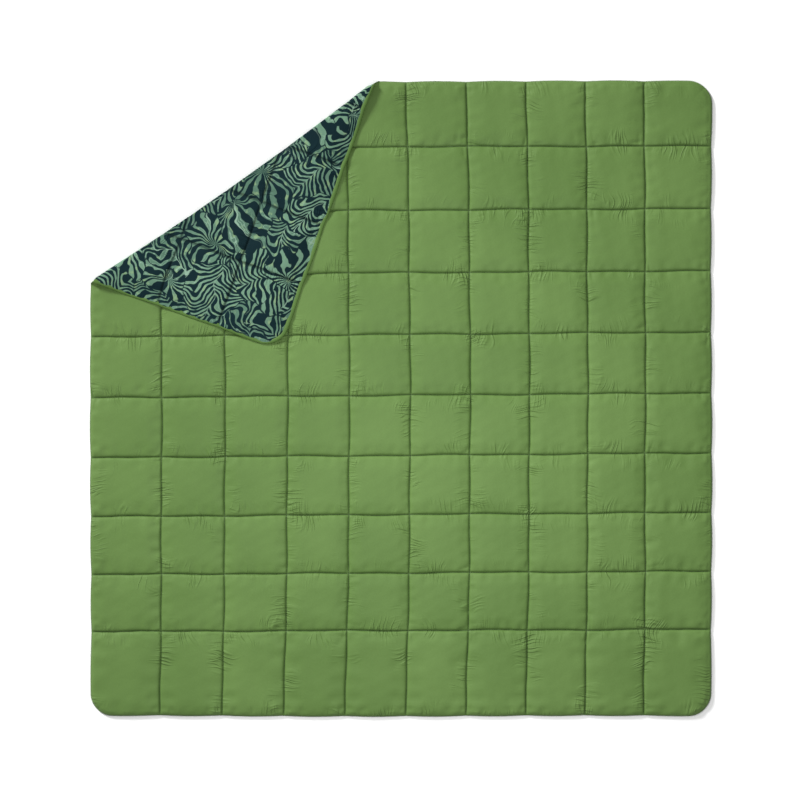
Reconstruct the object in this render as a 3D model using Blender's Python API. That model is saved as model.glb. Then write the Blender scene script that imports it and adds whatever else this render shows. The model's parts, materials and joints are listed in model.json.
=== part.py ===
"""Camp blanket: a box-quilted blanket lying face up, with one corner turned back over the top.

Units are metres. The origin is the middle of the footprint on the ground, +X is right, +Y points to the
edge that the fold starts from, and +Z is up. The blanket is a sandwich of face fabric, insulation and
lining, held by quilting stitches and closed all round by a folded tape. The corner is modelled flat, as
it was cut, and then turned over about the fold's hinge.
"""

import math

import bmesh
import bpy
from mathutils import Matrix, Vector

# Cut size
WIDTH = 1.780
LENGTH = 1.820
CORNER_RADIUS = 0.062
CORNER_SEGMENTS = 6

# Sandwich
LOFT = 0.016  # ground to the top of a cell
CLOTH = 0.0008  # thickness of the face fabric and of the lining
GAP = 0.0003  # clearance between neighbouring layers
VALLEY = 0.0061  # top of the face fabric along a stitched line and along the edge

# Quilting: straight lines, with cells that narrow evenly from the fold's corner to the opposite one
SEAMS = 9
PITCH = 0.1734
NARROWING = 0.0012
FIRST_COLUMN = -0.686
FIRST_ROW = 0.722
GROOVE = 0.045  # half the width of the groove that a line of stitches pulls into the face
STITCH_WIDTH = 0.0012
STITCH_HEIGHT = 0.0008
STITCH_CLEARANCE = 0.00045
SHORTEST_STITCH = 0.03  # a shorter end beyond the fold isn't sewn
STITCH_END_GAP = 0.004  # from such an unsewn end to the fold

# Edge: a tape folded round the pinched layers
TAPE = 0.0008
TAPE_WIDTH = 0.011
EDGE_LIFT = 0.0019  # how far the tape is off the ground
EDGE_FLAT = 0.030
EDGE_SLOPE = 0.022
TOPSTITCH_INSET = 0.005
TOPSTITCH_WIDTH = 0.001
TOPSTITCH_HEIGHT = 0.0005
STITCH_END = TAPE_WIDTH + 0.001

# Fold: the outermost line of the turned corner, from the far edge to the left edge
FOLD_FAR_END = Vector((-0.089, LENGTH / 2, 0.0))
FOLD_LEFT_END = Vector((-WIDTH / 2, 0.346, 0.0))
FOLD_GAP = 0.003  # between the blanket's cells and the turned corner's
FOLD_DEPTH = 0.010  # from the hinge line out to the fold's outermost line
FOLD_ARC_SEGMENTS = 10
FOLD_CORE = 0.0007  # half-width of the slit at the heart of the fold
BUTT = 0.0005  # each side of the hinge line, between the blanket and the corner

ALONG = (FOLD_FAR_END - FOLD_LEFT_END).normalized()
OUTWARD = Vector((-ALONG.y, ALONG.x, 0.0))
HINGE = (FOLD_FAR_END + FOLD_LEFT_END) / 2 - OUTWARD * FOLD_DEPTH
HINGE_HEIGHT = LOFT + FOLD_GAP / 2
FOLD_REACH = (FOLD_FAR_END - FOLD_LEFT_END).length / 2 + 0.05

CUTTER_HEIGHT = 0.2
CUTTER_SIZE = 3.0

# Linear colours and roughness of each material
GREEN = (0.165, 0.285, 0.085)
DEEP_GREEN = (0.120, 0.260, 0.055)
NAVY = (0.010, 0.030, 0.045)
WADDING = (0.80, 0.79, 0.76)
FINISH = {
    "face_fabric": (GREEN, 0.55),
    "lining_fabric": (NAVY, 0.60),
    "insulation": (WADDING, 0.95),
    "binding": (DEEP_GREEN, 0.65),
    "thread": (DEEP_GREEN, 0.50),
}


def clear_scene():
    for obj in list(bpy.data.objects):
        bpy.data.objects.remove(obj, do_unlink=True)


def new_collection(name):
    collection = bpy.data.collections.new(name)
    bpy.context.scene.collection.children.link(collection)
    return collection


def make_material(name, slot):
    colour, roughness = FINISH[slot]
    material = bpy.data.materials.new(name)
    material.use_nodes = True
    shader = material.node_tree.nodes["Principled BSDF"]
    shader.inputs["Base Color"].default_value = (*colour, 1.0)
    shader.inputs["Roughness"].default_value = roughness
    shader.inputs["Metallic"].default_value = 0.0
    return material


def object_from(bm, name, collection):
    bmesh.ops.recalc_face_normals(bm, faces=bm.faces)
    mesh = bpy.data.meshes.new(name)
    bm.to_mesh(mesh)
    bm.free()
    obj = bpy.data.objects.new(name, mesh)
    collection.objects.link(obj)
    return obj


def evaluated_mesh(obj):
    bpy.context.view_layer.update()
    graph = bpy.context.evaluated_depsgraph_get()
    return bpy.data.meshes.new_from_object(obj.evaluated_get(graph))


# Seam and relief positions


def seam_places(first, direction):
    """Where the lines of stitches lie, counted from the fold's corner."""
    last = SEAMS - 1
    return [first + direction * (PITCH * i + NARROWING * i * (last - i)) for i in range(SEAMS)]


COLUMNS = seam_places(FIRST_COLUMN, 1)
ROWS = seam_places(FIRST_ROW, -1)


def edge_rise(place, half):
    """0 in the flat band along an edge, and 1 past the slope that follows it."""
    return min(max((half - abs(place) - EDGE_FLAT) / EDGE_SLOPE, 0.0), 1.0)


def groove_rise(place, seams):
    """0 on a line of stitches, and 1 where the cell is at its full height."""
    return min(min(abs(place - seam) for seam in seams) / GROOVE, 1.0)


def edge_height(x, y):
    return min(edge_rise(x, WIDTH / 2), edge_rise(y, LENGTH / 2))


def cell_height(x, y):
    return min(edge_height(x, y), groove_rise(x, COLUMNS), groove_rise(y, ROWS))


def lining_bottom(x, y):
    return (EDGE_LIFT + TAPE + GAP) * (1.0 - edge_height(x, y))


def lining_top(x, y):
    return lining_bottom(x, y) + CLOTH


def face_top(x, y):
    return VALLEY + (LOFT - VALLEY) * cell_height(x, y)


def face_bottom(x, y):
    return face_top(x, y) - CLOTH


def insulation_bottom(x, y):
    return lining_top(x, y) + GAP


def insulation_top(x, y):
    return face_bottom(x, y) - GAP


def relief_lines(half, seams):
    """Every place across the blanket where its height starts or stops changing."""
    edges = [half, half - EDGE_FLAT, half - EDGE_FLAT - EDGE_SLOPE]
    lines = edges + [-edge for edge in edges]
    for seam in seams:
        lines += [seam - GROOVE, seam, seam + GROOVE]
    return sorted(lines)


# Cutters


def outline_cutter(inset, low, high, cutters):
    """The blanket's outline as a prism, with its sides moved in by inset."""
    bm = bmesh.new()
    bmesh.ops.create_cube(bm, size=1.0)
    size = Vector((WIDTH - 2 * inset, LENGTH - 2 * inset, high - low))
    bmesh.ops.scale(bm, vec=size, verts=bm.verts)
    bmesh.ops.translate(bm, vec=(0, 0, (high + low) / 2), verts=bm.verts)
    upright = [e for e in bm.edges if abs(e.verts[0].co.z - e.verts[1].co.z) > (high - low) / 2]
    bmesh.ops.bevel(
        bm,
        geom=upright,
        offset=CORNER_RADIUS - inset,
        offset_type="OFFSET",
        segments=CORNER_SEGMENTS,
        profile=0.5,
        affect="EDGES",
    )
    return hide(object_from(bm, "outline_cutter", cutters))


def corner_cutter(offset, cutters):
    """A block over the folded corner, starting offset beyond the hinge line."""
    bm = bmesh.new()
    bmesh.ops.create_cube(bm, size=1.0)
    bmesh.ops.scale(bm, vec=(CUTTER_SIZE, CUTTER_SIZE, CUTTER_HEIGHT * 2), verts=bm.verts)
    bmesh.ops.translate(bm, vec=(0, CUTTER_SIZE / 2 + offset, 0), verts=bm.verts)
    turn = Matrix.Translation(HINGE) @ Matrix.Rotation(math.atan2(ALONG.y, ALONG.x), 4, "Z")
    bmesh.ops.transform(bm, matrix=turn, verts=bm.verts)
    return hide(object_from(bm, "corner_cutter", cutters))


def hide(cutter):
    cutter.hide_render = True
    cutter.display_type = "WIRE"
    return cutter


def cut(obj, cutter, operation):
    """Cuts the object, and keeps the result as its mesh."""
    modifier = obj.modifiers.new(operation.lower(), "BOOLEAN")
    modifier.operation = operation
    modifier.solver = "EXACT"
    modifier.object = cutter
    result = evaluated_mesh(obj)
    obj.modifiers.clear()
    obj.data = result


class Blanket:
    """Makes pieces of the blanket, each as one object with its own material."""

    def __init__(self):
        self.parts = new_collection("camp_blanket")
        self.cutters = new_collection("cutters")
        self.whole = outline_cutter(0.0, -CUTTER_HEIGHT, CUTTER_HEIGHT, self.cutters)
        self.inside_tape = outline_cutter(
            TAPE_WIDTH + GAP, -CUTTER_HEIGHT, CUTTER_HEIGHT, self.cutters
        )
        self.layer_outline = outline_cutter(TAPE + GAP, -CUTTER_HEIGHT, CUTTER_HEIGHT, self.cutters)
        self.corner = corner_cutter(BUTT, self.cutters)
        self.corner_and_butt = corner_cutter(-BUTT, self.cutters)

    def finish(self, obj, name, slot):
        obj.name = name
        obj.data.name = name
        obj.data.materials.clear()
        obj.data.materials.append(make_material(name, slot))
        return obj

    def split(self, piece, name, slot):
        """Cuts a whole piece at the hinge line, into the blanket's part and the corner's."""
        other = bpy.data.objects.new("corner_" + name, piece.data.copy())
        self.parts.objects.link(other)
        cut(piece, self.corner_and_butt, "DIFFERENCE")
        cut(other, self.corner, "INTERSECT")
        return self.finish(piece, name, slot), self.finish(other, "corner_" + name, slot)

    def layer(self, name, slot, bottom, top, columns, rows):
        """A sheet with relief, on a grid whose lines are the places where the height changes."""
        bm = bmesh.new()
        bmesh.ops.create_grid(bm, x_segments=len(columns) - 1, y_segments=len(rows) - 1, size=0.5)
        for vert in bm.verts:
            vert.co.x = columns[round((vert.co.x + 0.5) * (len(columns) - 1))]
            vert.co.y = rows[round((vert.co.y + 0.5) * (len(rows) - 1))]
        bmesh.ops.triangulate(bm, faces=bm.faces, quad_method="FIXED")
        lower = list(bm.verts)
        raised = bmesh.ops.extrude_face_region(bm, geom=list(bm.faces))["geom"]
        for vert in lower:
            vert.co.z = bottom(vert.co.x, vert.co.y)
        for vert in raised:
            if isinstance(vert, bmesh.types.BMVert):
                vert.co.z = top(vert.co.x, vert.co.y)
        piece = object_from(bm, name, self.parts)
        cut(piece, self.layer_outline, "INTERSECT")
        return self.split(piece, name, slot)

    def ring(self, name, slot, outer, inner, low, high):
        """A band along the edge, between two insets of the outline."""
        obj = outline_cutter(outer, low, high, self.parts)
        obj.hide_render = False
        obj.display_type = "TEXTURED"
        cut(obj, outline_cutter(inner, -CUTTER_HEIGHT, CUTTER_HEIGHT, self.cutters), "DIFFERENCE")
        obj.name = name
        return obj

    def binding(self):
        top = VALLEY + GAP + TAPE
        tape = self.ring("edge_binding", "binding", 0.0, TAPE_WIDTH, EDGE_LIFT, top)
        channel = outline_cutter(TAPE, EDGE_LIFT + TAPE, VALLEY + GAP, self.cutters)
        cut(tape, channel, "DIFFERENCE")
        return self.split(tape, "edge_binding", "binding")

    def topstitch(self):
        low = VALLEY + GAP + TAPE + GAP
        outer = TOPSTITCH_INSET
        inner = TOPSTITCH_INSET + TOPSTITCH_WIDTH
        line = self.ring("edge_topstitch", "thread", outer, inner, low, low + TOPSTITCH_HEIGHT)
        return self.split(line, "edge_topstitch", "thread")

    def stitch_bar(self, name, centre, size):
        bm = bmesh.new()
        bmesh.ops.create_cube(bm, size=1.0)
        bmesh.ops.scale(bm, vec=size, verts=bm.verts)
        bmesh.ops.translate(bm, vec=centre, verts=bm.verts)
        return object_from(bm, name, self.parts)

    def stitch_line(self, name, centre, size, crossing):
        """One line of quilting stitches. crossing is where it meets the hinge line, if it does."""
        bar = self.stitch_bar(name, centre, size)
        if crossing:
            return self.split(bar, name, "thread")
        return self.finish(bar, name, "thread"), None

    def column_stitches(self):
        low = VALLEY + STITCH_CLEARANCE
        length = LENGTH - 2 * STITCH_END
        for number, x in enumerate(COLUMNS, 1):
            beyond = LENGTH / 2 - STITCH_END - hinge_y(x)
            yield self.stitch_line(
                f"column_stitch_{number}",
                (x, 0, low + STITCH_HEIGHT / 2),
                (STITCH_WIDTH, length, STITCH_HEIGHT),
                beyond > SHORTEST_STITCH,
            )

    def row_stitches(self):
        """The rows are sewn last, so they pass over the columns."""
        low = VALLEY + STITCH_CLEARANCE + STITCH_HEIGHT + GAP
        length = WIDTH - 2 * STITCH_END
        for number, y in enumerate(ROWS, 1):
            beyond = hinge_x(y) + WIDTH / 2 - STITCH_END
            shorten = beyond + STITCH_END_GAP if 0 < beyond < SHORTEST_STITCH else 0.0
            yield self.stitch_line(
                f"row_stitch_{number}",
                (shorten / 2, y, low + STITCH_HEIGHT / 2),
                (length - shorten, STITCH_WIDTH, STITCH_HEIGHT),
                beyond > SHORTEST_STITCH,
            )

    def fold(self, name, slot, outer, inner, start, end):
        """A half ring round the fold, from start to end along it. outer and inner are (depth, height)."""
        points = half_ellipse(*outer) + half_ellipse(*inner)[::-1]
        curve = bpy.data.curves.new(name, "CURVE")
        curve.dimensions = "2D"
        curve.fill_mode = "BOTH"
        curve.extrude = (end - start) / 2
        spline = curve.splines.new("POLY")
        spline.points.add(len(points) - 1)
        for point, (depth, height) in zip(spline.points, points):
            point.co = (depth, height, 0.0, 1.0)
        spline.use_cyclic_u = True
        outline = bpy.data.objects.new(name, curve)
        self.parts.objects.link(outline)
        bm = bmesh.new()
        bm.from_mesh(evaluated_mesh(outline))
        bmesh.ops.remove_doubles(bm, verts=bm.verts, dist=0.00001)
        bpy.data.objects.remove(outline)
        up = Vector((0, 0, 1))
        axes = Matrix((OUTWARD, up, OUTWARD.cross(up))).transposed().to_4x4()
        place = HINGE + ALONG * (start + end) / 2 + up * HINGE_HEIGHT
        bmesh.ops.transform(bm, matrix=Matrix.Translation(place) @ axes, verts=bm.verts)
        return self.finish(object_from(bm, name, self.parts), name, slot)

    def fold_pieces(self):
        """The stretch of each layer that goes round the fold, lining outermost."""
        core = (FOLD_CORE, FOLD_GAP / 2)
        face = (core[0] + CLOTH, core[1] + CLOTH)
        rim = (FOLD_DEPTH, HINGE_HEIGHT)
        lining = (rim[0] - CLOTH, rim[1] - CLOTH)
        wadding_outer = (lining[0] - GAP, lining[1] - GAP)
        wadding_inner = (face[0] + GAP, face[1] + GAP)
        rings = (
            ("fold_face_fabric", "face_fabric", face, core),
            ("fold_insulation", "insulation", wadding_outer, wadding_inner),
            ("fold_lining_fabric", "lining_fabric", rim, lining),
        )
        for name, slot, outer, inner in rings:
            piece = self.fold(name, slot, outer, inner, -FOLD_REACH, FOLD_REACH)
            cut(piece, self.inside_tape, "INTERSECT")
            self.finish(piece, name, slot)
        taped = outline_cutter(TAPE_WIDTH, -CUTTER_HEIGHT, CUTTER_HEIGHT, self.cutters)
        for name, start, end in (
            ("fold_binding_left", -FOLD_REACH, 0.0),
            ("fold_binding_far", 0.0, FOLD_REACH),
        ):
            piece = self.fold(name, "binding", rim, core, start, end)
            cut(piece, self.whole, "INTERSECT")
            cut(piece, taped, "DIFFERENCE")
            self.finish(piece, name, "binding")


def half_ellipse(depth, height):
    """From straight above the hinge, outward and round to straight below it."""
    points = []
    for step in range(FOLD_ARC_SEGMENTS + 1):
        angle = math.pi * step / FOLD_ARC_SEGMENTS
        points.append((depth * math.sin(angle), height * math.cos(angle)))
    return points


def hinge_y(x):
    return HINGE.y + (x - HINGE.x) * ALONG.y / ALONG.x


def hinge_x(y):
    return HINGE.x + (y - HINGE.y) * ALONG.x / ALONG.y


def turn_corner(pieces, parts):
    """Hangs the corner's pieces on an empty on the hinge line, and turns it half a turn."""
    hinge = bpy.data.objects.new("corner_hinge", None)
    hinge.location = HINGE + Vector((0, 0, HINGE_HEIGHT))
    parts.objects.link(hinge)
    bpy.context.view_layer.update()
    flat = hinge.matrix_world.inverted()
    for piece in pieces:
        piece.parent = hinge
        piece.matrix_parent_inverse = flat
    hinge.rotation_mode = "QUATERNION"
    hinge.rotation_quaternion = Matrix.Rotation(math.pi, 3, ALONG).to_quaternion()
    bpy.context.view_layer.update()


def main():
    clear_scene()
    blanket = Blanket()
    columns = relief_lines(WIDTH / 2, COLUMNS)
    rows = relief_lines(LENGTH / 2, ROWS)
    pairs = [
        blanket.layer(
            "lining_fabric",
            "lining_fabric",
            lining_bottom,
            lining_top,
            relief_lines(WIDTH / 2, []),
            relief_lines(LENGTH / 2, []),
        ),
        blanket.layer(
            "insulation", "insulation", insulation_bottom, insulation_top, columns, rows
        ),
        blanket.layer("face_fabric", "face_fabric", face_bottom, face_top, columns, rows),
        blanket.binding(),
        blanket.topstitch(),
    ]
    pairs += blanket.column_stitches()
    pairs += blanket.row_stitches()
    blanket.fold_pieces()
    turn_corner([corner for _, corner in pairs if corner], blanket.parts)


main()
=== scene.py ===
"""Looks of the camp blanket: quilted cloth, print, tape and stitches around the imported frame.

Everything is made as one open, flat blanket in metres, then cut along the hinge line and turned over.
"""

import json
import math

import bmesh
import bpy
import numpy as np
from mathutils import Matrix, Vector

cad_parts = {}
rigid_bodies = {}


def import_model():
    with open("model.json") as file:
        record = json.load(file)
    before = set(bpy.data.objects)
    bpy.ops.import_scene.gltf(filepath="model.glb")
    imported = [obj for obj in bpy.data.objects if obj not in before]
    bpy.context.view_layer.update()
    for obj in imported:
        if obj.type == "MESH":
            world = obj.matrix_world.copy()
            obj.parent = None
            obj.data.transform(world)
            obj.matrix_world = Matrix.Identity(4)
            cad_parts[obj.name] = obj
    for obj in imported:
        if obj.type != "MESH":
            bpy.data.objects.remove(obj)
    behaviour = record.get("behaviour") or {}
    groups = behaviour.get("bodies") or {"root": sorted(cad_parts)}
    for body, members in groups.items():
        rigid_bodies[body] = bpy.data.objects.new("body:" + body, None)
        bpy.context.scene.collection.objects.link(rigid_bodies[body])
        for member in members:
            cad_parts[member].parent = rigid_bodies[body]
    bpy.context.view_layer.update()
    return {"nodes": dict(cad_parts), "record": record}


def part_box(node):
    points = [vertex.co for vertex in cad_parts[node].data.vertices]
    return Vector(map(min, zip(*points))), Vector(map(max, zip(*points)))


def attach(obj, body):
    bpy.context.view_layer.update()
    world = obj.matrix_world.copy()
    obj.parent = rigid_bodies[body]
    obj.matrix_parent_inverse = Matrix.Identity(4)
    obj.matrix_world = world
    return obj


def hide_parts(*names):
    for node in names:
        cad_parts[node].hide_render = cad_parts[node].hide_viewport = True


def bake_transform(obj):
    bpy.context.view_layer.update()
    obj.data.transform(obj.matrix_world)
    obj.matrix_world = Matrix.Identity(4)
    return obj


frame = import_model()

MM = 0.001

# ---------------------------------------------------------------- places read from the frame

OUTLINE_LOW, OUTLINE_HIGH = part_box("edge_binding")
HALF_X = OUTLINE_HIGH.x
HALF_Y = OUTLINE_HIGH.y
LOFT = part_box("face_fabric")[1].z
EDGE_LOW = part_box("edge_binding")[0].z
EDGE_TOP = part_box("edge_binding")[1].z
CORNER_RADIUS = 62 * MM

JOINT = frame["record"]["behaviour"]["joints"][0]
HINGE = np.array(JOINT["pos_m"])
ALONG = -np.array(JOINT["axis"])
OUTWARD = np.array([-ALONG[1], ALONG[0], 0.0])
MAIN = JOINT["parent"]
CORNER = JOINT["child"]


def middle(node, axis):
    low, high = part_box(node)
    return (low[axis] + high[axis]) / 2


SEAM_COUNT = 9
COLUMNS = [middle(f"column_stitch_{n}", 0) for n in range(1, SEAM_COUNT + 1)]
ROWS = sorted(middle(f"row_stitch_{n}", 1) for n in range(1, SEAM_COUNT + 1))

# ---------------------------------------------------------------- sizes of the cloth

FACE_SEAM = EDGE_TOP - 1.1 * MM  # the face fabric along seams and edges
LINING_EDGE = EDGE_LOW + 1.3 * MM  # the lining along the edges
LINING_SEAM = FACE_SEAM - 1.5 * MM  # and along seams
CORNER_SEAM_RISE = 4 * MM  # the turned corner's seams sink away from its upper side
LINING_REST = 0.4 * MM  # the lining where it lies on the ground
TAPE_WIDTH = 11 * MM
COARSE = 16  # mesh intervals across a cell in the simulation
CROWDING = 0.7  # how much closer the mesh lines are beside a seam
RIM_CURL = 12.5 * MM  # how far the turned corner's rim sinks towards the blanket
RIM_WIDTH = 75 * MM  # the band along the edge that sinks
RIM_RIPPLE = 0.5 * MM  # the edge rises this much between seams

FOLD_FLAT = 14 * MM  # half-width of the strip that is cut out for the fold
FOLD_TURN = 12 * MM  # half-width of the part of it that bends
FOLD_BACK_END = 6 * MM  # how far inside the hinge line the bend starts, at the fold's ends
FOLD_BACK_MIDDLE = 13 * MM  # and in its middle
FOLD_BULGE_END = 8.5 * MM  # how far the lining stands out from there
FOLD_BULGE_MIDDLE = 2.5 * MM
FOLD_END_ZONE = 90 * MM  # near its ends the fold slides along the blanket's edges
FOLD_CHAMFER = 18 * MM  # the bulge lessens over this length at the fold's ends
FOLD_END_SHARE = 0.4  # to this part of itself
FOLD_NEST = 5 * MM  # a layer on the hinge line would turn this far inside one on the ground
FOLD_REACH = 60 * MM  # no face near the fold is wider than this
FOLD_STEPS = 16
HALF_FOLD = 0.49  # half the fold's length
TURN = (HINGE[2] - 1.1 * MM, HINGE[2] + 1.1 * MM)  # heights between which the fold changes over

SEED = 20240611


# ---------------------------------------------------------------- flat cloth


def along_cells(seams, half, intervals):
    """Mesh lines across the blanket, crowded beside each seam, with one on every seam."""
    knots = [-half, *seams, half]
    lines = [np.array([-half])]
    steps = np.arange(1, intervals + 1) / intervals
    eased = steps - CROWDING * np.sin(2 * np.pi * steps) / (2 * np.pi)
    for low, high in zip(knots[:-1], knots[1:]):
        lines.append(low + (high - low) * eased)
    return np.concatenate(lines)


def cell_place(p, seams, half):
    """Counts cells across the blanket: whole numbers on seams."""
    return np.interp(p, [-half, *seams, half], np.arange(len(seams) + 2))


def cell_swell(p, seams, half):
    """0 on a seam, and 1 half way to the next."""
    return np.sin(np.pi * (cell_place(p, seams, half) % 1.0))


def smooth(t):
    t = np.clip(t, 0.0, 1.0)
    return t * t * (3 - 2 * t)


def ease(distance, start, run):
    """Rises from 0 to 1 over the run that begins at start."""
    return smooth((distance - start) / run)


def round_corners(x, y):
    """Draws a rectangle's corners in to quarter circles, without moving its straight sides."""
    a = np.clip((np.abs(x) - (HALF_X - CORNER_RADIUS)) / CORNER_RADIUS, 0, 1)
    b = np.clip((np.abs(y) - (HALF_Y - CORNER_RADIUS)) / CORNER_RADIUS, 0, 1)
    longest = np.maximum(a, b)
    reach = np.hypot(a, b)
    draw = np.where(reach > 0, longest / np.maximum(reach, 1e-9), 1.0)
    new_x = np.sign(x) * (HALF_X - CORNER_RADIUS * (1 - a * draw))
    new_y = np.sign(y) * (HALF_Y - CORNER_RADIUS * (1 - b * draw))
    return np.where(a > 0, new_x, x), np.where(b > 0, new_y, y)


SEAM_BOW = 13 * MM  # columns bend towards the left at both ends
ROW_TILT = 7 * MM  # rows climb to the right
PINCH = 1.4 * MM  # the edge is drawn in at each seam
SWELL = 2.5 * MM  # and pushed out between seams
EDGE_BAND = 90 * MM


def relax(x, y):
    """The blanket is never square: seams bow, wander a little and pull the edge in."""
    across = x / HALF_X
    up = y / HALF_Y
    near_x = smooth((np.abs(x) - HALF_X + EDGE_BAND) / EDGE_BAND)
    near_y = smooth((np.abs(y) - HALF_Y + EDGE_BAND) / EDGE_BAND)
    dx = -SEAM_BOW * (1 - across**2) * up**2
    dy = ROW_TILT * across * (1 - up**2)
    inside = (1 - near_x) * (1 - near_y)
    dx = dx + inside * (1.1 * MM * np.sin(29 * y + 13 * x) + 1.0 * MM * np.sin(11 * y - 37 * x + 2))
    dy = dy + inside * (1.0 * MM * np.sin(31 * x - 17 * y + 1) + 1.1 * MM * np.sin(13 * x + 41 * y))
    dx = dx + np.sign(x) * near_x * (SWELL * cell_swell(y, ROWS, HALF_Y) - PINCH)
    dy = dy + np.sign(y) * near_y * (SWELL * cell_swell(x, COLUMNS, HALF_X) - PINCH)
    dx = dx + near_x * 1.2 * MM * np.sin(5.3 * y + 0.7 + 2 * np.sign(x))
    dy = dy + near_y * 1.2 * MM * np.sin(4.7 * x + 1.9 + 3 * np.sign(y))
    return x + dx, y + dy


def unrelax(x, y):
    """Where points of the relaxed cloth were cut."""
    cut_x, cut_y = x, y
    for _ in range(3):
        moved_x, moved_y = relax(cut_x, cut_y)
        cut_x = cut_x + x - moved_x
        cut_y = cut_y + y - moved_y
    return cut_x, cut_y


def from_edge(x, y):
    """Distance in from the edge of the cut rectangle."""
    return np.minimum(HALF_X - np.abs(x), HALF_Y - np.abs(y))


def beyond_hinge(x, y):
    return (x - HINGE[0]) * OUTWARD[0] + (y - HINGE[1]) * OUTWARD[1]


def rim_lift(x, y):
    """How far the pinched edge is off its usual height, so that the turned corner's rim sinks."""
    rim = 1 - ease(from_edge(x, y), 0, RIM_WIDTH)
    beyond = beyond_hinge(x, y)
    turned = ease(beyond, 12 * MM, 90 * MM)
    ripple = RIM_RIPPLE * (cell_swell(x, COLUMNS, HALF_X) + cell_swell(y, ROWS, HALF_Y))
    ripple = ripple * ease(np.abs(beyond), 24 * MM, 30 * MM)
    return rim * (RIM_CURL * turned + ripple)


def grid_faces(rows, columns):
    index = np.arange(rows * columns).reshape(rows, columns)
    corners = (index[:-1, :-1], index[:-1, 1:], index[1:, 1:], index[1:, :-1])
    return np.stack([c.ravel() for c in corners], axis=1)


PRESSURE = 6.0
SLACK = 0.014  # the cloth is this much wider than its cell
FRAMES = 16
DRIFT_LIMIT = 3 * MM  # the most that the simulation moves a point sideways
WRINKLE_LIMIT = 1.4 * MM  # and the most that its wrinkles stand out
WRINKLE_REACH = 4  # mesh points to each side over which its broad shape is taken out


def inflate(x, y, pinned, direction):
    """Cloth simulation: the pinned points hold, and pressure lifts the slack cloth between them."""
    mesh = bpy.data.meshes.new("inflate")
    start = cell_swell(x, COLUMNS, HALF_X) * cell_swell(y, ROWS, HALF_Y)
    z = direction * 4 * MM * np.sqrt(start)
    points = np.stack([x.ravel(), y.ravel(), z.ravel()], axis=1)
    faces = grid_faces(*x.shape)
    if direction < 0:
        faces = faces[:, ::-1]
    mesh.from_pydata(points.tolist(), [], faces.tolist())
    cloth = bpy.data.objects.new("inflate", mesh)
    bpy.context.scene.collection.objects.link(cloth)
    group = cloth.vertex_groups.new(name="pinned")
    group.add([int(i) for i in np.flatnonzero(pinned.ravel())], 1.0, "REPLACE")
    modifier = cloth.modifiers.new("cloth", "CLOTH")
    settings = modifier.settings
    settings.vertex_group_mass = "pinned"
    settings.quality = 4
    settings.mass = 0.12
    settings.tension_stiffness = 12
    settings.compression_stiffness = 12
    settings.shear_stiffness = 4
    settings.bending_stiffness = 0.02
    settings.air_damping = 3
    settings.use_pressure = True
    settings.uniform_pressure_force = PRESSURE
    settings.shrink_min = -SLACK
    settings.effector_weights.gravity = 0
    modifier.collision_settings.use_collision = False
    modifier.point_cache.frame_start = 1
    modifier.point_cache.frame_end = FRAMES
    for step in range(1, FRAMES + 1):
        bpy.context.scene.frame_set(step)
    graph = bpy.context.evaluated_depsgraph_get()
    settled = cloth.evaluated_get(graph).to_mesh()
    out = np.empty(len(points) * 3)
    settled.vertices.foreach_get("co", out)
    bpy.data.objects.remove(cloth, do_unlink=True)
    bpy.context.scene.frame_set(1)
    return out.reshape(*x.shape, 3)


def refine(a):
    """Doubles the points along the first axis, on a cubic through the old ones."""
    padded = np.concatenate([2 * a[:1] - a[1:2], a, 2 * a[-1:] - a[-2:-1]])
    between = (9 * (padded[1:-2] + padded[2:-1]) - padded[:-3] - padded[3:]) / 16
    out = np.empty((2 * len(a) - 1, *a.shape[1:]))
    out[::2] = a
    out[1::2] = between
    return out


def puckers(x_lines, y_lines, rng, strength):
    """Short creases that run out from the seams, in metres of depth on the mesh's lines."""
    depth = np.zeros((len(y_lines), len(x_lines)))
    for turned in (False, True):
        seams, cells = (ROWS, COLUMNS) if turned else (COLUMNS, ROWS)
        half = HALF_X if turned else HALF_Y
        across, down = (y_lines, x_lines) if turned else (x_lines, y_lines)
        field = depth.T if turned else depth
        ends = [-half, *cells, half]
        for number, seam in enumerate(seams):
            for cell in range(len(ends) - 1):
                off_centre = max(abs(number - SEAM_COUNT / 2 + 0.5), abs(cell - SEAM_COUNT / 2))
                outer = off_centre / (SEAM_COUNT / 2)
                busy = rng.random()
                count = rng.poisson(2.0 + 9.0 * outer**2 * busy)
                for _ in range(count):
                    side = rng.choice((-1, 1))
                    place = rng.uniform(ends[cell], ends[cell + 1])
                    length = rng.uniform(14, 20 + 44 * outer) * MM
                    wide = rng.uniform(2.6, 4.6) * MM
                    deep = rng.uniform(0.6, 1.7) * MM * strength * (0.45 + outer)
                    lean = rng.uniform(-0.35, 0.35)
                    a0, a1 = np.searchsorted(across, sorted((seam, seam + side * length)))
                    spread = 4 * wide + 16 * MM
                    b0, b1 = np.searchsorted(down, (place - spread, place + spread))
                    d = np.abs(across[a0:a1] - seam)[None, :]
                    t = down[b0:b1][:, None] - place - lean * d
                    shape = np.exp(-((t / wide) ** 2)) * np.sin(np.pi * np.sqrt(d / length))
                    field[b0:b1, a0:a1] += deep * shape
    return depth


def seam_distances(x, y):
    """How far points of the cut cloth are from the nearest column seam and row seam, or edge."""
    found = []
    for p, seams, half in ((x, COLUMNS, HALF_X), (y, ROWS, HALF_Y)):
        lines = np.array([-half, *seams, half])
        after = np.clip(np.searchsorted(lines, p), 1, len(lines) - 1)
        found.append(np.minimum(np.abs(p - lines[after - 1]), np.abs(lines[after] - p)))
    return found


STEEP = 2.8 * MM  # a cell rises from its seam first over this distance
GENTLE = 17 * MM  # and then over this one
STEEP_SHARE = 0.62


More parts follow.
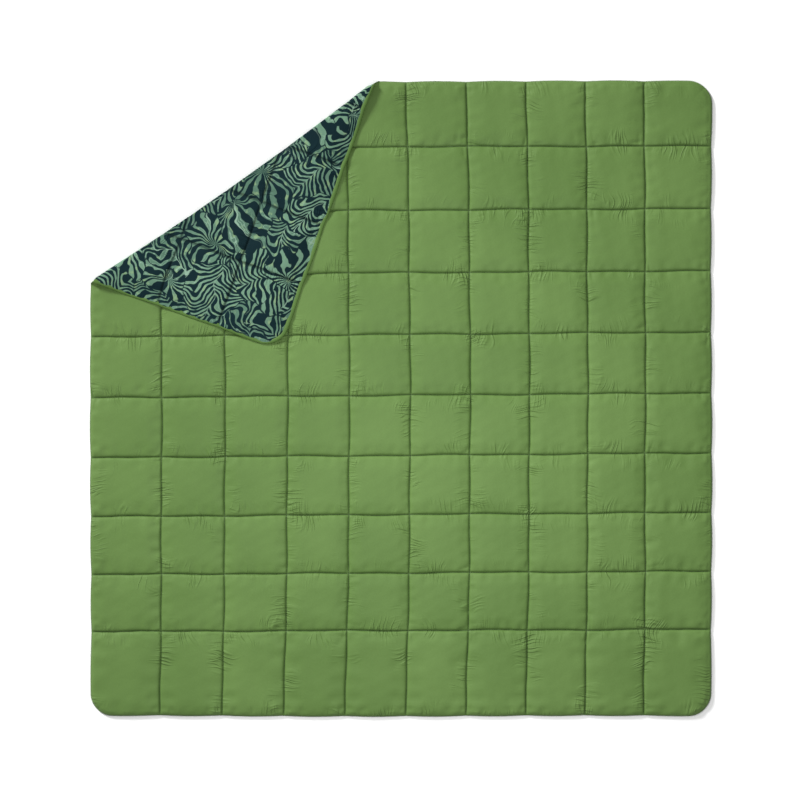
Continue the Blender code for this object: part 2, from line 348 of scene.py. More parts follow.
def filling(x, y):
    """0 on seams and edges, rising steeply to 1 over each cell."""
    full = 1.0
    for near in seam_distances(x, y):
        steep = STEEP_SHARE * np.exp(-near / STEEP)
        gentle = (1 - STEEP_SHARE) * np.exp(-near / GENTLE)
        full = full * (1 - steep - gentle)
    return full


BROAD_ROLL = 0.7 * MM
SMALL_ROLL = 0.3 * MM


def rolling(x, y):
    """Uneven lofting of the wadding, in metres, from waves that change from cell to cell."""
    column = np.floor(cell_place(x, COLUMNS, HALF_X))
    row = np.floor(cell_place(y, ROWS, HALF_Y))
    broad = np.sin(37 * x + 19 * y + 2.3 * row) * np.sin(31 * y - 17 * x + 1.9 * column)
    small = np.sin(133 * x - 61 * y + row) * np.sin(97 * y + 45 * x + column)
    return BROAD_ROLL * broad + SMALL_ROLL * small


def blurred(a, reach):
    """The mean over a square of mesh points."""
    for axis in (0, 1):
        a = sum(np.roll(a, shift, axis=axis) for shift in range(-reach, reach + 1))
    return a / (2 * reach + 1) ** 2


class Quilt:
    """The two cloths of the open blanket, as grids of points."""

    def __init__(self):
        self.x_coarse = along_cells(COLUMNS, HALF_X, COARSE)
        self.y_coarse = along_cells(ROWS, HALF_Y, COARSE)
        x, y = np.meshgrid(self.x_coarse, self.y_coarse)
        on_seam = np.zeros(x.shape, bool)
        on_seam[::COARSE, :] = True
        on_seam[:, ::COARSE] = True
        pinned = on_seam | (from_edge(x, y) < TAPE_WIDTH * 0.8)
        round_x, round_y = round_corners(x, y)
        rng = np.random.default_rng(SEED)
        self.face = self.cloth(x, y, round_x, round_y, pinned, 1, rng)
        self.lining = self.cloth(x, y, round_x, round_y, pinned, -1, rng)

    def swelling(self, round_x, round_y, pinned, direction):
        return inflate(round_x, round_y, pinned, direction)

    def cloth(self, x, y, round_x, round_y, pinned, direction, rng):
        puffed = self.swelling(round_x, round_y, pinned, direction)
        puffed[pinned, 2] = 0.0
        drift = np.stack([puffed[..., 0] - round_x, puffed[..., 1] - round_y], axis=2)
        drift = drift.clip(-DRIFT_LIMIT, DRIFT_LIMIT)
        height = np.abs(puffed[..., 2])
        fine = np.concatenate([drift, height[..., None]], axis=2)
        fine = refine(refine(fine).swapaxes(0, 1)).swapaxes(0, 1)
        x_fine = refine(self.x_coarse)
        y_fine = refine(self.y_coarse)
        flat_x, flat_y = np.meshgrid(x_fine, y_fine)
        cloth_x, cloth_y = round_corners(flat_x, flat_y)
        height = fine[..., 2].clip(0, None)
        crease = puckers(x_fine, y_fine, rng, 1.0 if direction > 0 else 0.9)
        wrinkles = height - blurred(height, WRINKLE_REACH)
        wrinkles = wrinkles.clip(-WRINKLE_LIMIT, WRINKLE_LIMIT)
        full = filling(flat_x, flat_y)
        loose = full * (wrinkles + rolling(flat_x, flat_y)) - crease
        new_x, new_y = relax(cloth_x + fine[..., 0], cloth_y + fine[..., 1])
        beyond = beyond_hinge(new_x, new_y)
        turned = ease(beyond, 0, 60 * MM)
        inner = ease(from_edge(flat_x, flat_y), 10 * MM, 25 * MM)
        rise = CORNER_SEAM_RISE * inner * ease(beyond, 30 * MM, 150 * MM)
        if direction > 0:
            seam = FACE_SEAM + rise
            z = seam + (LOFT - seam) * full + loose
            away = LOFT * ease(np.abs(beyond), 21 * MM, 30 * MM)
            z = np.minimum(z, TURN[0] - 0.5 * MM + away).clip(FACE_SEAM - 0.3 * MM, None)
        else:
            seam = LINING_EDGE + (LINING_SEAM - LINING_EDGE) * inner + rise
            z = seam - (seam - LINING_REST) * full - loose * (0.4 + 0.6 * turned)
            z = z.clip(LINING_REST, seam + 0.2 * MM)
        self.lift = rim_lift(flat_x, flat_y)
        return np.stack([new_x, new_y, z + self.lift], axis=2)


# ---------------------------------------------------------------- the fold


def turn_over(points):
    """Carries points of the open blanket over the hinge line, and round the fold beside it."""
    offset = points - HINGE
    s = offset @ OUTWARD
    u = offset @ ALONG
    bow = np.clip(1 - (u / HALF_FOLD) ** 2, 0, 1)
    back = FOLD_BACK_END + (FOLD_BACK_MIDDLE - FOLD_BACK_END) * bow
    ending = ease(HALF_FOLD - np.abs(u), 0, FOLD_CHAMFER)
    whole = FOLD_END_SHARE + (1 - FOLD_END_SHARE) * ending
    bulge = (FOLD_BULGE_END + (FOLD_BULGE_MIDDLE - FOLD_BULGE_END) * bow) * whole
    reach = np.abs(s)
    slide = np.clip((reach - FOLD_TURN) / (FOLD_FLAT - FOLD_TURN), 0, 1)
    place = -np.where(reach >= FOLD_FLAT, reach, back + slide * (FOLD_FLAT - back))
    angle = np.pi * np.clip((s + FOLD_TURN) / (2 * FOLD_TURN), 0, 1)
    below = HINGE[2] - points[:, 2]
    swell = (bulge - FOLD_NEST * (1 - below / HINGE[2])) * np.sin(angle)
    far = smooth((u - HALF_FOLD) / FOLD_END_ZONE + 1) * OUTWARD[1] / ALONG[1]
    left = smooth((-u - HALF_FOLD) / FOLD_END_ZONE + 1) * OUTWARD[0] / ALONG[0]
    slip = -np.cos(angle) * (place + swell + reach) * (far + left)
    out = HINGE + np.outer(place + swell, OUTWARD) + np.outer(u + slip, ALONG)
    out[:, 2] = HINGE[2] - below * np.cos(angle)
    return out


def stretch_of(s):
    """Which stretch of the blanket lies this far beyond the hinge line."""
    if abs(s) <= FOLD_FLAT:
        return "fold"
    return "corner" if s > 0 else "blanket"


def cut_planes():
    turns = np.linspace(-FOLD_TURN, FOLD_TURN, FOLD_STEPS + 1)
    return [-FOLD_FLAT, *turns, FOLD_FLAT]


def cut_for_fold(points, faces):
    """Cuts a flat mesh along the fold. Gives its points, and its faces as blanket, fold and corner."""
    mesh = bpy.data.meshes.new("cut")
    mesh.from_pydata(points.tolist(), [], faces)
    bm = bmesh.new()
    bm.from_mesh(mesh)
    bpy.data.meshes.remove(mesh)
    normal = Vector(OUTWARD)
    middle_point = Vector((HINGE[0], HINGE[1], 0))
    for offset in cut_planes():
        near = [
            f
            for f in bm.faces
            if abs((f.verts[0].co - middle_point).dot(normal)) < FOLD_FLAT + FOLD_REACH
        ]
        geom = set(near)
        for f in near:
            geom.update(f.edges)
            geom.update(f.verts)
        bmesh.ops.bisect_plane(
            bm,
            geom=list(geom),
            dist=1e-6,
            plane_co=middle_point + normal * offset,
            plane_no=normal,
        )
    bm.verts.index_update()
    co = np.array([v.co[:] for v in bm.verts])
    parts = {"blanket": [], "fold": [], "corner": []}
    for f in bm.faces:
        s = (f.calc_center_median() - middle_point).dot(normal)
        parts[stretch_of(s)].append([v.index for v in f.verts])
    bm.free()
    return co, parts


def piece(name, points, faces, cloth_place, material, node_names, place, blend=None):
    """One object from some faces of a mesh.

    One UV map gives its place on the open cloth, and the other its distances from the seams.
    """
    used = sorted({i for f in faces for i in f})
    new_index = {old: new for new, old in enumerate(used)}
    mesh = bpy.data.meshes.new(name)
    kept = [[new_index[i] for i in f] for f in faces]
    mesh.from_pydata(points[used].tolist(), [], kept)
    mesh.update()
    mesh.shade_smooth()
    loop_vert = np.empty(len(mesh.loops), np.int32)
    mesh.loops.foreach_get("vertex_index", loop_vert)
    flat = cloth_place[used][:, :2]
    near = np.stack(seam_distances(*unrelax(flat[:, 0], flat[:, 1])), axis=1)
    for map_name, values in (("cloth", flat), ("seams", near)):
        uv = mesh.uv_layers.new(name=map_name)
        uv.data.foreach_set("uv", values[loop_vert].astype(np.float32).ravel())
    mesh.materials.append(material)
    obj = bpy.data.objects.new(name, mesh)
    bpy.context.scene.collection.objects.link(obj)
    if blend:
        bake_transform(obj)
    else:
        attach(obj, place)
    if node_names:
        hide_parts(*node_names)
    return obj


# ---------------------------------------------------------------- materials


def srgb(r, g, b):
    """A linear colour from 0 to 255 display values."""
    out = []
    for v in (r, g, b):
        v = v / 255
        out.append(v / 12.92 if v <= 0.04045 else ((v + 0.055) / 1.055) ** 2.4)
    return (*out, 1.0)


class Nodes:
    """A short way to write a material's nodes."""

    def __init__(self, name):
        self.material = bpy.data.materials.new(name)
        self.material.use_nodes = True
        self.tree = self.material.node_tree
        self.shader = self.tree.nodes["Principled BSDF"]

    def put(self, socket, value):
        if isinstance(value, bpy.types.NodeSocket):
            self.tree.links.new(value, socket)
        else:
            socket.default_value = value

    def add(self, kind, output=0, inputs=None, **settings):
        node = self.tree.nodes.new(kind)
        for key, value in settings.items():
            setattr(node, key, value)
        for key, value in (inputs or {}).items():
            self.put(node.inputs[key], value)
        return node.outputs[output]

    def math(self, operation, a, b=0.0, c=0.0):
        return self.add("ShaderNodeMath", 0, {0: a, 1: b, 2: c}, operation=operation)

    def vector(self, operation, a, b=(0, 0, 0)):
        return self.add("ShaderNodeVectorMath", 0, {0: a, 1: b}, operation=operation)

    def mix(self, factor, a, b):
        return self.add("ShaderNodeMix", 2, {0: factor, 6: a, 7: b}, data_type="RGBA")

    def noise(self, where, scale, detail=2.0, output=0):
        return self.add(
            "ShaderNodeTexNoise", output, {"Vector": where, "Scale": scale, "Detail": detail}
        )

    def ramp(self, value, low, high):
        return self.add(
            "ShaderNodeMapRange",
            0,
            {"Value": value, "From Min": low, "From Max": high},
            interpolation_type="SMOOTHSTEP",
        )

    def cloth_place(self):
        return self.add("ShaderNodeUVMap", 0, uv_map="cloth")

    def seam_distance(self):
        """From the nearest column seam and from the nearest row seam."""
        near = self.add("ShaderNodeUVMap", 0, uv_map="seams")
        split = self.add("ShaderNodeSeparateXYZ", 0, {0: near}).node
        return split.outputs[0], split.outputs[1]

    def gathers(self, where):
        """Small sharp creases that run out from the seams, as a height from 0 to 1."""
        busy = self.ramp(self.noise(where, 9.0, 2.0), 0.49, 0.68)
        sway = self.vector("SUBTRACT", self.noise(where, 10.0, 1.0, output=1), (0.5, 0.5, 0.5))
        leaning = self.add(
            "ShaderNodeVectorMath",
            0,
            {0: sway, 1: (70 * MM, 70 * MM, 0), 2: where},
            operation="MULTIPLY_ADD",
        )
        total = 0.0
        for near, stretch in zip(self.seam_distance(), ((9, 70, 0), (70, 9, 0))):
            streaks = self.noise(self.vector("MULTIPLY", leaning, stretch), 1.0, 1.0)
            sharp = self.math("ABSOLUTE", self.math("MULTIPLY_ADD", streaks, 2.0, -1.0))
            sharp = self.math("SUBTRACT", 1.0, self.ramp(sharp, 0.0, 0.20))
            fade = self.math("SUBTRACT", 1.0, self.ramp(near, 2 * MM, 60 * MM))
            total = self.math("MULTIPLY_ADD", sharp, fade, total)
        return self.math("MULTIPLY", total, busy)

    def bump(self, height, distance, strength=1.0, normal=None):
        inputs = {"Height": height, "Distance": distance, "Strength": strength}
        if normal is not None:
            inputs["Normal"] = normal
        return self.add("ShaderNodeBump", 0, inputs)

    def surface(self, **values):
        for key, value in values.items():
            self.put(self.shader.inputs[key.replace("_", " ").title()], value)

    def weave(self, where, pitch):
        """Over and under threads, as a height from 0 to 1."""
        split = self.add("ShaderNodeSeparateXYZ", 0, {0: where}).node
        turn = 2 * math.pi / pitch
        warp = self.math("SINE", self.math("MULTIPLY", split.outputs[0], turn))
        weft = self.math("SINE", self.math("MULTIPLY", split.outputs[1], turn))
        return self.math("MULTIPLY_ADD", self.math("MULTIPLY", warp, weft), 0.5, 0.5)


WEAVE_PITCH = 1.1 * MM
WEAVE_DEPTH = 0.12 * MM
GATHER_DEPTH = 2.2 * MM
CRINKLE_DEPTH = 1.6 * MM


def cloth_relief(n, where, crinkle, strength):
    """Crinkles, gathers beside the seams and the weave, as a normal."""
    normal = n.bump(crinkle, CRINKLE_DEPTH, strength)
    normal = n.bump(n.gathers(where), GATHER_DEPTH, 1.0, normal)
    return n.bump(n.weave(where, WEAVE_PITCH), WEAVE_DEPTH, 0.5, normal)


def face_material():
    """Dull green taffeta: fine plain weave, small gathers at the seams, slightly uneven dye, and painted
    shade along the seams.
    """
    n = Nodes("green_taffeta")
    where = n.cloth_place()
    cloudy = n.noise(where, 2.6, 3.0)
    colour = n.mix(n.ramp(cloudy, 0.35, 0.65), srgb(85, 113, 56), srgb(92, 120, 62))
    speckle = n.noise(where, 210.0, 2.0)
    colour = n.mix(n.math("MULTIPLY", speckle, 0.16), colour, srgb(62, 90, 38))
    seam = n.math("MINIMUM", *n.seam_distance())
    # painted shade: the face colour darkens beside every seam, standing in for the shade in the stitched
    # grooves
    painted_seam_shade = n.math("SUBTRACT", 1.0, n.ramp(seam, 0.8 * MM, 3.6 * MM))
    colour = n.mix(n.math("MULTIPLY", painted_seam_shade, 0.45), colour, srgb(46, 70, 28))
    normal = cloth_relief(n, where, n.noise(where, 38.0, 5.0), 0.5)
    rough = n.math("MULTIPLY_ADD", cloudy, 0.14, 0.52)
    n.surface(base_color=colour, roughness=rough, normal=normal)
    n.shader.inputs["Sheen Weight"].default_value = 0.03
    n.shader.inputs["Sheen Roughness"].default_value = 0.45
    n.shader.inputs["Specular IOR Level"].default_value = 0.2
    return n.material


LEAF = 112 * MM  # the size of a printed leaf
RIB = 17 * MM  # from one of its ribs to the next
FAN_RIBS = 16  # how many ribs a fan-shaped leaf has in a full turn


def leaf_layer(n, where, width):
    """Leaves that fill Voronoi cells, with ribs that arch back from a midrib or spread like a fan.

    Gives the light part as a mask, a random number per leaf, and midribs and veins as a mask.
    """
    scale = 1 / LEAF
    cell = n.add("ShaderNodeTexVoronoi", 0, {"Vector": where, "Scale": scale}).node
    edge = n.add(
        "ShaderNodeTexVoronoi",
        0,
        {"Vector": where, "Scale": scale},
        feature="DISTANCE_TO_EDGE",
    )
    local = n.vector("SUBTRACT", where, cell.outputs["Position"])
    tone = n.add("ShaderNodeSeparateColor", 0, {0: cell.outputs["Color"]}).node
    turned = n.add(
        "ShaderNodeVectorRotate",
        0,
        {"Vector": local, "Angle": n.math("MULTIPLY", tone.outputs[0], 2 * math.pi)},
        rotation_type="Z_AXIS",
    )
    split = n.add("ShaderNodeSeparateXYZ", 0, {0: turned}).node
    x = split.outputs[0]
    y = split.outputs[1]
    side = n.math("ABSOLUTE", x)
    arch = n.math("SINE", n.math("MULTIPLY", side, 34.0))
    phase = n.math("MULTIPLY_ADD", arch, -30 * MM, y)
    fern = n.math("MULTIPLY", phase, 2 * math.pi / RIB)
    behind = n.math("ADD", y, LEAF * 0.4)
    fan = n.math("MULTIPLY", n.math("ARCTAN2", x, behind), FAN_RIBS)
    is_fan = n.math("GREATER_THAN", tone.outputs[2], 0.6)
    wave = n.math("SINE", n.add("ShaderNodeMix", 0, {0: is_fan, 2: fern, 3: fan}))
    level = n.math("ADD", wave, width)
    light = n.ramp(level, -0.10, 0.10)
    inside = n.ramp(edge, 0.004, 0.016)
    rib = n.math("SUBTRACT", 1.0, n.ramp(side, 0.8 * MM, 1.6 * MM))
    vein = n.math("ABSOLUTE", n.math("SUBTRACT", level, 0.62))
    vein = n.math("SUBTRACT", 1.0, n.ramp(vein, 0.02, 0.13))
    return n.math("MULTIPLY", light, inside), tone.outputs[1], n.math("MAXIMUM", rib, vein)


def print_material():
    """Navy cloth printed with sage leaves, of the builder's own drawing, with painted shade along the seams.
    """
    n = Nodes("leaf_print")
    where = n.cloth_place()
    drawn = where
    for scale, reach in ((8.0, 80 * MM), (18.0, 56 * MM), (44.0, 12 * MM)):
        sway = n.vector("SUBTRACT", n.noise(where, scale, 0.0, output=1), (0.5, 0.5, 0.5))
        drawn = n.add(
            "ShaderNodeVectorMath",
            0,
            {0: sway, 1: (reach, reach, 0), 2: drawn},
            operation="MULTIPLY_ADD",
        )
    uneven = n.math("MULTIPLY_ADD", n.noise(where, 46.0, 1.0), 2.8, -1.62)
    mask, tone, rib = leaf_layer(n, drawn, uneven)
    navy = n.mix(n.noise(where, 5.0), srgb(6, 27, 31), srgb(10, 36, 42))
    sage = n.mix(n.ramp(tone, 0.2, 0.8), srgb(76, 107, 90), srgb(97, 130, 108))
    fresh = n.ramp(n.noise(where, 44.0, 2.0), 0.54, 0.66)
    sage = n.mix(n.math("MULTIPLY", fresh, 0.75), sage, srgb(122, 150, 110))
    colour = n.mix(mask, navy, sage)
    seam = n.math("MINIMUM", *n.seam_distance())
    # painted shade: the print darkens towards near-black beside every seam, standing in for the shade in the
    # stitched creases
    painted_seam_shade = n.math("SUBTRACT", 1.0, n.ramp(seam, 1.0 * MM, 7.0 * MM))
    patchy = n.ramp(n.noise(where, 11.0, 1.0), 0.42, 0.62)
    colour = n.mix(n.math("MULTIPLY", rib, patchy), colour, srgb(124, 154, 134))
    colour = n.mix(n.math("MULTIPLY", painted_seam_shade, 0.6), colour, srgb(8, 26, 28))
    normal = cloth_relief(n, where, n.noise(where, 30.0, 4.0), 0.6)
    n.surface(base_color=colour, normal=normal)
    n.shader.inputs["Roughness"].default_value = 0.8
    n.shader.inputs["Specular IOR Level"].default_value = 0.10
    return n.material


def tape_material():
    """Ribbed binding tape, fresher green than the face."""
    n = Nodes("binding_tape")
    where = n.cloth_place()
    tone = n.noise(where, 22.0, 3.0)
    colour = n.mix(tone, srgb(64, 92, 38), srgb(80, 110, 50))
    ribs = n.weave(where, 2.2 * MM)
    normal = n.bump(ribs, 0.25 * MM, 0.7)
    n.surface(base_color=colour, normal=normal)
    n.shader.inputs["Roughness"].default_value = 0.62
    n.shader.inputs["Specular IOR Level"].default_value = 0.2
    return n.material


def thread_material():
    """Twisted thread, darker than the cloth that it holds."""
    n = Nodes("stitch_thread")
    where = n.cloth_place()
    twist = n.weave(where, 0.9 * MM)
    colour = n.mix(twist, srgb(44, 66, 30), srgb(60, 86, 40))
    normal = n.bump(twist, 0.15 * MM, 0.6)
    n.surface(base_color=colour, normal=normal)
    n.shader.inputs["Roughness"].default_value = 0.5
    return n.material


def wadding_material():
    """Off-white fibre wadding."""
    n = Nodes("fibre_wadding")
    where = n.cloth_place()
    fibres = n.noise(where, 160.0, 6.0)
    colour = n.mix(fibres, srgb(222, 219, 210), srgb(245, 243, 238))
    normal = n.bump(fibres, 1.2 * MM, 0.8)
    n.surface(base_color=colour, normal=normal)
    n.shader.inputs["Roughness"].default_value = 0.95
    return n.material


# ---------------------------------------------------------------- cloth, wadding and tape


def make_cloth(grid, material, prefix):
    """The blanket's, the fold's and the corner's stretch of one cloth."""
    rows, columns = grid.shape[:2]
    faces = grid_faces(rows, columns)
    if prefix == "lining_fabric":
        faces = faces[:, ::-1]
    flat, parts = cut_for_fold(grid.reshape(-1, 3), faces.tolist())
    points = turn_over(flat)
    made = {}
    for key, name, place, blend in (
        ("blanket", prefix, MAIN, None),
        ("fold", "fold_" + prefix, MAIN, TURN),
        ("corner", "corner_" + prefix, CORNER, None),
    ):
        label = name + "_cloth"
        made[key] = piece(label, points, parts[key], flat, material, [name], place, blend)
    return made


def closed_grid(top, bottom):
    """A solid between two grids: points and faces."""
    rows, columns = top.shape[:2]
    count = rows * columns
    upper = grid_faces(rows, columns)
    lower = upper[:, ::-1] + count
    index = np.arange(count).reshape(rows, columns)
    loop = [*index[0, :-1], *index[:-1, -1], *index[-1, :0:-1], *index[:0:-1, 0]]
    sides = []
    for here, after in zip(loop, loop[1:] + loop[:1]):
        sides.append([after, here, here + count, after + count])
    points = np.concatenate([top.reshape(-1, 3), bottom.reshape(-1, 3)])
    return points, upper.tolist() + lower.tolist() + [[int(i) for i in f] for f in sides]


def close_ends(obj):
    """Caps the openings that the cuts for the fold left."""
    bm = bmesh.new()
    bm.from_mesh(obj.data)
    open_edges = [e for e in bm.edges if e.is_boundary]
    bmesh.ops.holes_fill(bm, edges=open_edges, sides=0)
    bm.to_mesh(obj.data)
    bm.free()


WADDING_STRIDE = 2  # its mesh takes every second point of the cloths'
WADDING_INSET = 4 * MM  # the wadding ends inside the edge of the cloths
WADDING_PRESSED = 0.5 * MM  # its thickness along the fold


def around(height, pick):
    """The lowest or highest of the fine mesh near each point of a coarser one."""
    for axis in (0, 1):
        shifts = range(-WADDING_STRIDE, WADDING_STRIDE + 1)
        height = pick.reduce([np.roll(height, shift, axis=axis) for shift in shifts])
    return height[::WADDING_STRIDE, ::WADDING_STRIDE]


def make_wadding(quilt, material):
    """The insulation, just inside both cloths and pressed thin along the fold."""
    top = quilt.face[::WADDING_STRIDE, ::WADDING_STRIDE].copy()
    bottom = top.copy()
    lift = quilt.lift[::WADDING_STRIDE, ::WADDING_STRIDE]
    away = ease(np.abs(beyond_hinge(top[..., 0], top[..., 1])), 36 * MM, 60 * MM)
    low = around(quilt.lining[..., 2] - quilt.lift, np.maximum) + (0.5 - 0.3 * away) * MM
    high = around(quilt.face[..., 2] - quilt.lift, np.minimum) - 0.8 * MM
    high = np.minimum(high, low + WADDING_PRESSED + away * LOFT)
    bottom[..., 2] = low + lift
    top[..., 2] = np.maximum(high, low + 0.1 * MM) + lift
    for grid in (top, bottom):
        for axis, half in ((0, HALF_X), (1, HALF_Y)):
            beside = smooth(1 - (half - np.abs(grid[..., axis])) / (30 * MM))
            grid[..., axis] -= np.sign(grid[..., axis]) * WADDING_INSET * beside
    flat_points, faces = closed_grid(top, bottom)
    flat, parts = cut_for_fold(flat_points, faces)
    points = turn_over(flat)
    for key, name, place, blend in (
        ("blanket", "insulation", MAIN, None),
        ("fold", "fold_insulation", MAIN, TURN),
        ("corner", "corner_insulation", CORNER, None),
    ):
        label = name + "_wadding"
        faces = parts[key]
        made = piece(label, points, faces, flat, material, [name], place, blend)
        if key != "fold":
            close_ends(made)


def outline_path(spacing):
    """Points round the open blanket, counter-clockwise."""
    radius = CORNER_RADIUS
    x = HALF_X - radius
    y = HALF_Y - radius
    corners = ((x, y, 0), (-x, y, 90), (-x, -y, 180), (x, -y, 270))
    arc_steps = round(math.pi / 2 * radius / spacing)
    ends = []
    for cx, cy, start in corners:
        angles = np.radians(start + np.linspace(0, 90, arc_steps + 1))
        ends.append(np.stack([cx + radius * np.cos(angles), cy + radius * np.sin(angles)], axis=1))
    path = []
    for here, after in zip(ends, ends[1:] + ends[:1]):
        path.append(here)
        gap = np.linalg.norm(after[0] - here[-1])
        steps = np.linspace(0, 1, round(gap / spacing) + 1)[1:-1, None]
        path.append(here[-1] + (after[0] - here[-1]) * steps)
    return np.concatenate(path)


def inward_from(path):
    """The direction in from the edge, at each point of a closed path round it."""
    step = np.roll(path, -1, axis=0) - np.roll(path, 1, axis=0)
    inward = np.stack([-step[:, 1], step[:, 0]], axis=1)
    return inward / np.linalg.norm(inward, axis=1)[:, None]


def edge_point(xy, height):
    """Where a point of the cut outline lies once the cloth has relaxed."""
    x, y = relax(xy[:, 0], xy[:, 1])
    return np.stack([x, y, height + rim_lift(xy[:, 0], xy[:, 1])], axis=1)


TAPE_PROFILE = (  # inset from the outline and height within the tape, round its folded section
    (11.0, 6.9),
    (8.0, 7.7),
    (4.5, 7.55),
    (1.5, 7.5),
    (0.0, 6.4),
    (-0.5, 4.6),
    (0.0, 2.9),
    (1.5, 1.7),
    (5.0, 1.6),
    (11.0, 2.2),
    (11.0, 3.0),
    (5.0, 2.5),
    (1.8, 2.7),
    (0.9, 4.6),
    (1.8, 6.3),
    (5.0, 6.6),
    (11.0, 6.2),
)


TAPE_SPACING = 9 * MM


def make_tape(material):
    """The binding: its folded section carried round the outline, then cut where the fold is."""
    base = outline_path(TAPE_SPACING)
    inward = inward_from(base)
    lines = [edge_point(base + inward * inset * MM, height * MM) for inset, height in TAPE_PROFILE]
    grid = np.stack(lines, axis=1)
    count, sides = grid.shape[:2]
    index = np.arange(count * sides).reshape(count, sides)
    ahead = np.roll(index, -1, axis=0)
    beside = np.roll(index, -1, axis=1)
    both = np.roll(ahead, -1, axis=1)
    faces = np.stack([c.ravel() for c in (index, beside, both, ahead)], axis=1)
    flat, parts = cut_for_fold(grid.reshape(-1, 3), faces.tolist())
    points = turn_over(flat)
    ends = {"left": [], "far": []}
    for f in parts["fold"]:
        u = (flat[f[0]] - HINGE) @ ALONG
        ends["far" if u > 0 else "left"].append(f)
    for node, kept, place, blend in (
        ("edge_binding", parts["blanket"], MAIN, None),
        ("corner_edge_binding", parts["corner"], CORNER, None),
        ("fold_binding_left", ends["left"], MAIN, TURN),
        ("fold_binding_far", ends["far"], MAIN, TURN),
    ):
        piece(node + "_tape", points, kept, flat, material, [node], place, blend)


# ---------------------------------------------------------------- stitches

STITCH = 4.2 * MM
STITCH_PITCH = 5.6 * MM
STITCH_SIDES = 5
STITCH_RINGS = (  # place along the stitch, then width and height in thread radii
    (0.0, 0.35, -0.9),
    (0.2, 0.9, -0.1),
    (0.5, 1.0, 0.15),
    (0.8, 0.9, -0.1),
    (1.0, 0.35, -0.9),
)
QUILTING_RADIUS = 0.85 * MM
QUILTING_LIFT = 0.35 * MM  # the thread's middle over the face fabric
ROW_LIFT = 0.2 * MM  # rows cross over columns
QUILTING_START = 3  # mesh points in from the edge
TOPSTITCH_RADIUS = 0.5 * MM
TOPSTITCH_INSET = 5.2 * MM
TOPSTITCH_HEIGHT = 7.7 * MM
TOPSTITCH_SPACING = 5 * MM


def stitch_points(start, end, radius):
    """One stitch as a short tapered thread that dips into the cloth at both ends."""
    run = end - start
    length = np.linalg.norm(run)
    run = run / length
    side = np.array([-run[1], run[0], 0.0])
    up = np.array([0.0, 0.0, 1.0])
    turns = 2 * np.pi * np.arange(STITCH_SIDES) / STITCH_SIDES
    circle = np.outer(np.cos(turns), side) + np.outer(np.sin(turns), up)
    rings = []
    for t, width, lift in STITCH_RINGS:
        centre = start + run * length * t + up * radius * lift
        rings.append(centre + circle * radius * width)
    return np.concatenate(rings)


def stitch_faces(first):
    """The faces of one stitch, whose points are numbered from first."""
    last = len(STITCH_RINGS) - 1
    faces = []
    for ring in range(last):
        for k in range(STITCH_SIDES):
            a = first + ring * STITCH_SIDES + k
            b = first + ring * STITCH_SIDES + (k + 1) % STITCH_SIDES
            faces.append([a, b, b + STITCH_SIDES, a + STITCH_SIDES])
    faces.append([first + k for k in range(STITCH_SIDES)][::-1])
    faces.append([first + last * STITCH_SIDES + k for k in range(STITCH_SIDES)])
    return faces


def sew(path, radius):
    """Stitches along a dense path of the open blanket, sorted into blanket, fold and corner."""
    gone = np.concatenate([[0], np.cumsum(np.linalg.norm(np.diff(path, axis=0), axis=1))])
    found = {"blanket": [], "fold": [], "corner": []}
    for begin in np.arange(0, gone[-1] - STITCH, STITCH_PITCH):
        ends = [
            np.array([np.interp(at, gone, path[:, k]) for k in range(3)])
            for at in (begin, begin + STITCH)
        ]
        s = ((ends[0] + ends[1]) / 2 - HINGE) @ OUTWARD
        found[stretch_of(s)].append(stitch_points(*ends, radius))
    return found


def stitch_piece(name, stitches, material, nodes, place, blend=None):
    """Many stitches as one object."""
    flat = np.concatenate(stitches)
    size = len(STITCH_RINGS) * STITCH_SIDES
    faces = [f for n in range(len(stitches)) for f in stitch_faces(n * size)]
    points = turn_over(flat)
    piece(name, points, faces, flat, material, nodes, place, blend)


def make_stitches(quilt, material):
    """Every line of quilting, the tape's own stitching, and what of them goes round the fold."""
    crossing = []
    inside = slice(QUILTING_START, -QUILTING_START)
    for number in range(SEAM_COUNT):
        column = quilt.face[inside, 2 * COARSE * (number + 1)].copy()
        column[:, 2] += QUILTING_LIFT
        found = sew(column, QUILTING_RADIUS)
        add_line(f"column_stitch_{number + 1}", found, material, crossing)
        row = quilt.face[2 * COARSE * (SEAM_COUNT - number), inside].copy()
        row[:, 2] += QUILTING_LIFT + ROW_LIFT
        found = sew(row, QUILTING_RADIUS)
        add_line(f"row_stitch_{number + 1}", found, material, crossing)
    outline = outline_path(TOPSTITCH_SPACING)
    path = edge_point(outline + inward_from(outline) * TOPSTITCH_INSET, TOPSTITCH_HEIGHT)
    path = np.concatenate([path, path[:1]])
    add_line("edge_topstitch", sew(path, TOPSTITCH_RADIUS), material, crossing)
    stitch_piece("fold_stitches", crossing, material, [], MAIN, TURN)


def add_line(node, found, material, crossing):
    """One line's pieces on the blanket and on the corner. Its stitches round the fold are kept for later."""
    stitch_piece(node + "_thread", found["blanket"], material, [node], MAIN)
    corner = "corner_" + node
    if corner in frame["nodes"]:
        stitch_piece(corner + "_thread", found["corner"], material, [corner], CORNER)
    crossing.extend(found["fold"])


# ---------------------------------------------------------------- camera, light and floor


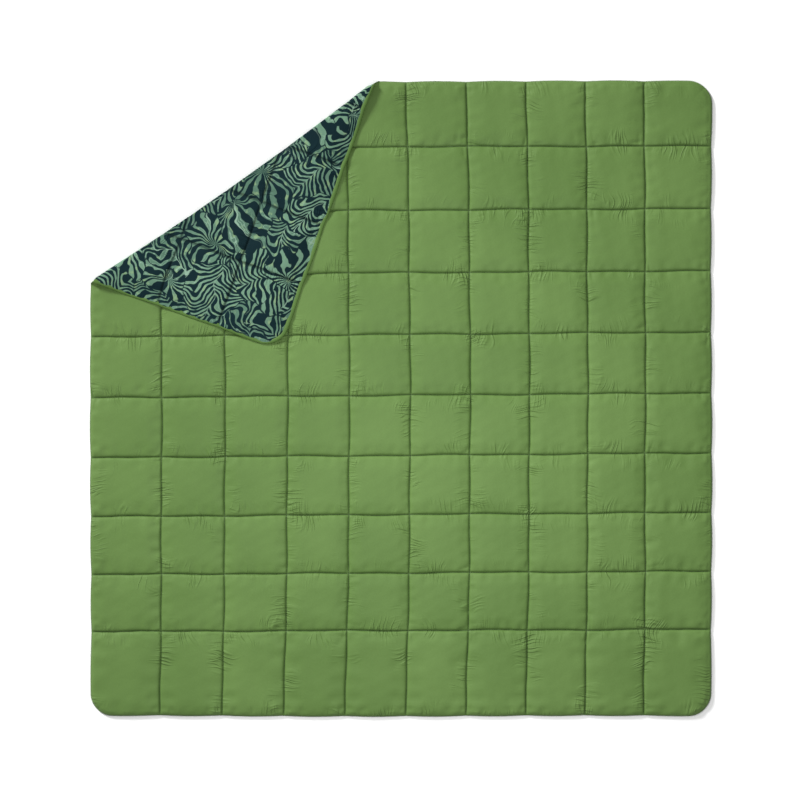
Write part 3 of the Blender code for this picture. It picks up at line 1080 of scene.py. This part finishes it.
def add_stage():
    """White paper under the blanket."""
    bpy.ops.mesh.primitive_plane_add(size=14)
    floor = bpy.context.object
    floor.name = "floor"
    n = Nodes("paper_floor")
    n.surface(base_color=srgb(250, 250, 250))
    n.shader.inputs["Roughness"].default_value = 0.9
    floor.data.materials.append(n.material)


def add_light(name, place, size, watts):
    """A round soft light that faces the middle of the blanket."""
    light = bpy.data.lights.new(name, "AREA")
    light.shape = "DISK"
    light.size = size
    light.energy = watts
    obj = bpy.data.objects.new(name, light)
    obj.location = place
    obj.rotation_euler = (-Vector(place)).to_track_quat("-Z", "Y").to_euler()
    obj.visible_camera = False
    bpy.context.scene.collection.objects.link(obj)


def add_camera():
    """Straight down, with the top of the picture towards +Y."""
    view = 2.297  # metres across the picture on the ground
    camera = bpy.data.cameras.new("camera")
    camera.lens = 100
    camera.sensor_width = 36
    obj = bpy.data.objects.new("camera", camera)
    obj.location = (-0.003, -0.004, view * camera.lens / camera.sensor_width)
    bpy.context.scene.collection.objects.link(obj)
    bpy.context.scene.camera = obj


def add_studio():
    """Even white light, a key light from the upper left, and a weak one over the middle."""
    world = bpy.data.worlds.new("studio")
    world.use_nodes = True
    background = world.node_tree.nodes["Background"]
    background.inputs["Color"].default_value = (1, 1, 1, 1)
    background.inputs["Strength"].default_value = 0.40
    bpy.context.scene.world = world
    add_light("key", place=(-9.0, 9.6, 6.6), size=3.6, watts=2900)
    add_light("centre", place=(0.05, -0.20, 1.9), size=0.8, watts=23)
    bpy.context.scene.view_settings.view_transform = "Standard"


# ---------------------------------------------------------------- the blanket


def declare_sheets(cloths):
    """Goes through each stretch of cloth without doing anything with it. The corner is a triangle and the
    blanket the rest.
    """
    for key, made in cloths.items():
        if key == "blanket":
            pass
        elif key == "corner":
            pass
        else:
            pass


def main():
    add_stage()
    add_camera()
    add_studio()
    quilt = Quilt()
    face = make_cloth(quilt.face, face_material(), "face_fabric")
    lining = make_cloth(quilt.lining, print_material(), "lining_fabric")
    for cloths in (face, lining):
        declare_sheets(cloths)
    make_wadding(quilt, wadding_material())
    make_tape(tape_material())
    make_stitches(quilt, thread_material())


main()
